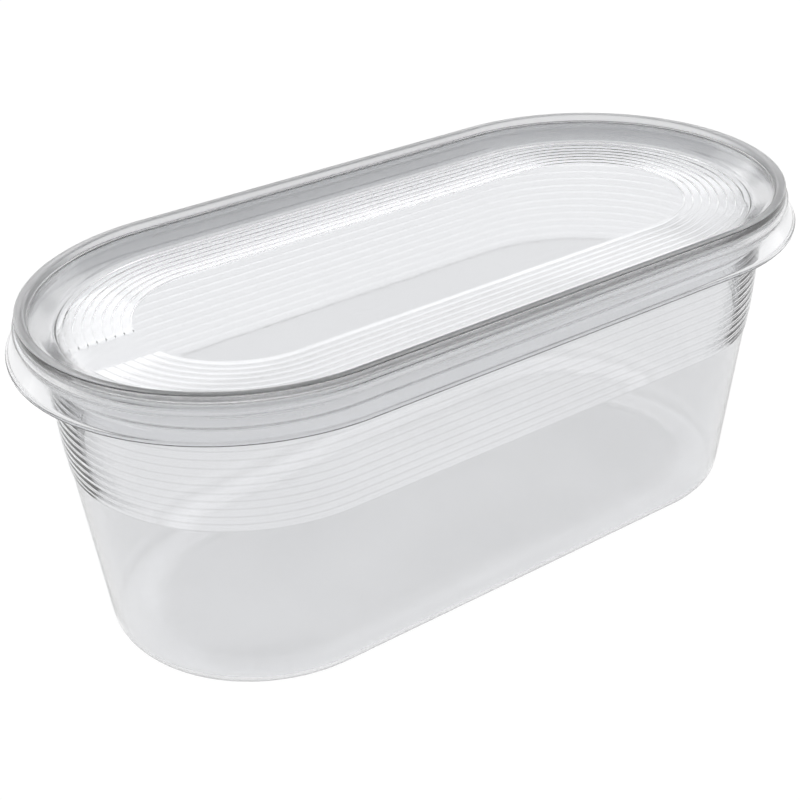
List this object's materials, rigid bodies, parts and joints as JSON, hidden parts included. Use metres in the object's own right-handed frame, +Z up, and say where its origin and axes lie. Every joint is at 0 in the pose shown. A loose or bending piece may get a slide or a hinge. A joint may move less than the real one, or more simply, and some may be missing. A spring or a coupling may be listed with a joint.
{
  "type": "freezer container",
  "caption": "Clear oblong freezer container with tapered walls, a finely ribbed upper band and a press-on lid with a sunken, ringed panel.",
  "frame": {"origin": "centre of the underside, on the surface that the container stands on", "axes": "+Z up, +X along the container, away from the end with the lid's plaque, +Y across it"},
  "size_m": [0.2248, 0.1128, 0.0895],
  "materials": {
    "container_plastic": "clear, glossy, faintly cool polypropylene",
    "lid_plastic": "clear, glossy, faintly cool plastic sheet"
  },
  "bodies": {
    "root": {"container": "container_plastic", "lid": "lid_plastic"}
  },
  "joints": []
}
